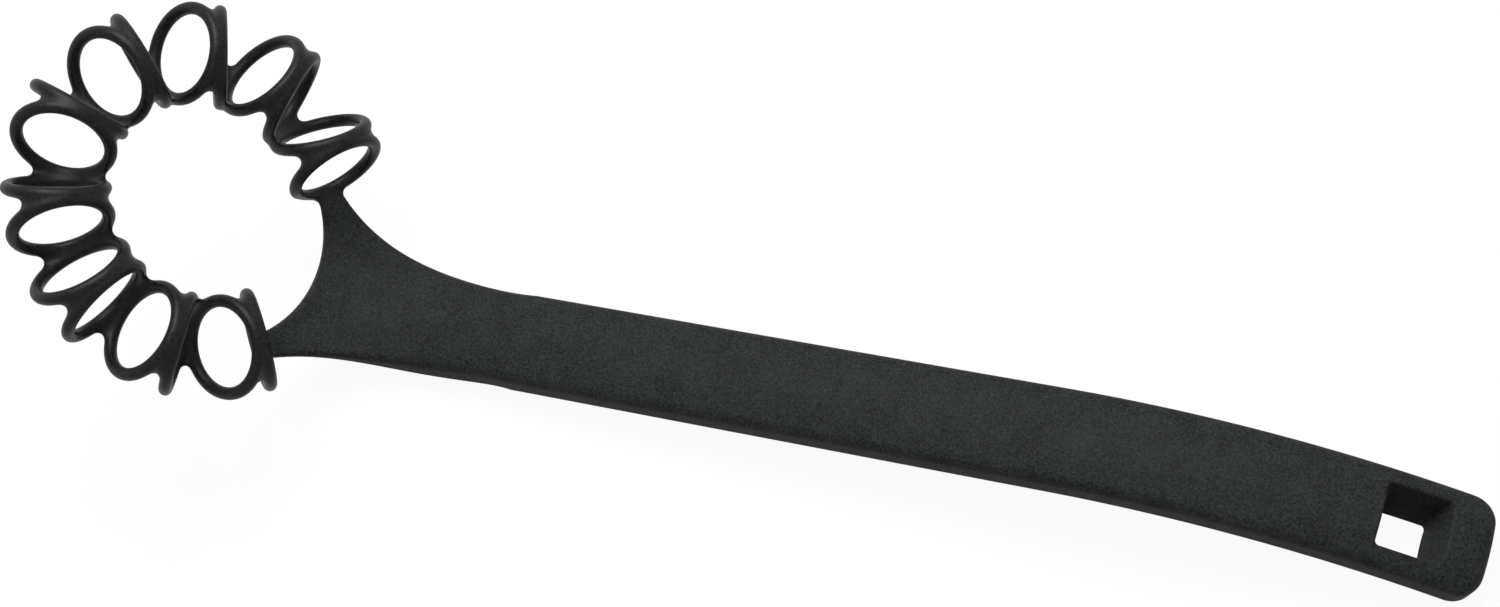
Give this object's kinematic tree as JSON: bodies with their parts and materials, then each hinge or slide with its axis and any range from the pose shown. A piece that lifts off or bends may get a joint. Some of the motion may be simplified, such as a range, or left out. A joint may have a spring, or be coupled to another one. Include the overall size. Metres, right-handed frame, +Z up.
{
  "type": "dough whisk",
  "caption": "Hand whisk for dough: a crown of slanted wire-like rings on an open yoke, with a bent neck and a long arched handle that ends in a hang hole.",
  "frame": {"origin": "on the table, under the middle of the box that holds the whole tool as it lies at rest", "axes": "+X along the handle, from the head towards the hanging end; +Y across the tool; +Z up from the table"},
  "size_m": [0.297, 0.0846, 0.0779],
  "materials": {
    "grained_nylon": "moulded charcoal-black nylon with a fine matte grain",
    "smooth_nylon": "moulded charcoal-black nylon, smooth with a soft sheen"
  },
  "bodies": {
    "root": {"yoke": "grained_nylon", "neck": "grained_nylon", "grip": "grained_nylon", "hanging_end": "grained_nylon", "ring_01": "smooth_nylon", "ring_02": "smooth_nylon", "ring_03": "smooth_nylon", "ring_04": "smooth_nylon", "ring_05": "smooth_nylon", "ring_06": "smooth_nylon", "ring_07": "smooth_nylon", "ring_08": "smooth_nylon", "ring_09": "smooth_nylon", "ring_10": "smooth_nylon", "ring_11": "smooth_nylon", "ring_12": "smooth_nylon", "ring_13": "smooth_nylon", "ring_14": "smooth_nylon", "ring_15": "smooth_nylon", "ring_16": "smooth_nylon", "ring_17": "smooth_nylon", "ring_18": "smooth_nylon"}
  },
  "joints": []
}
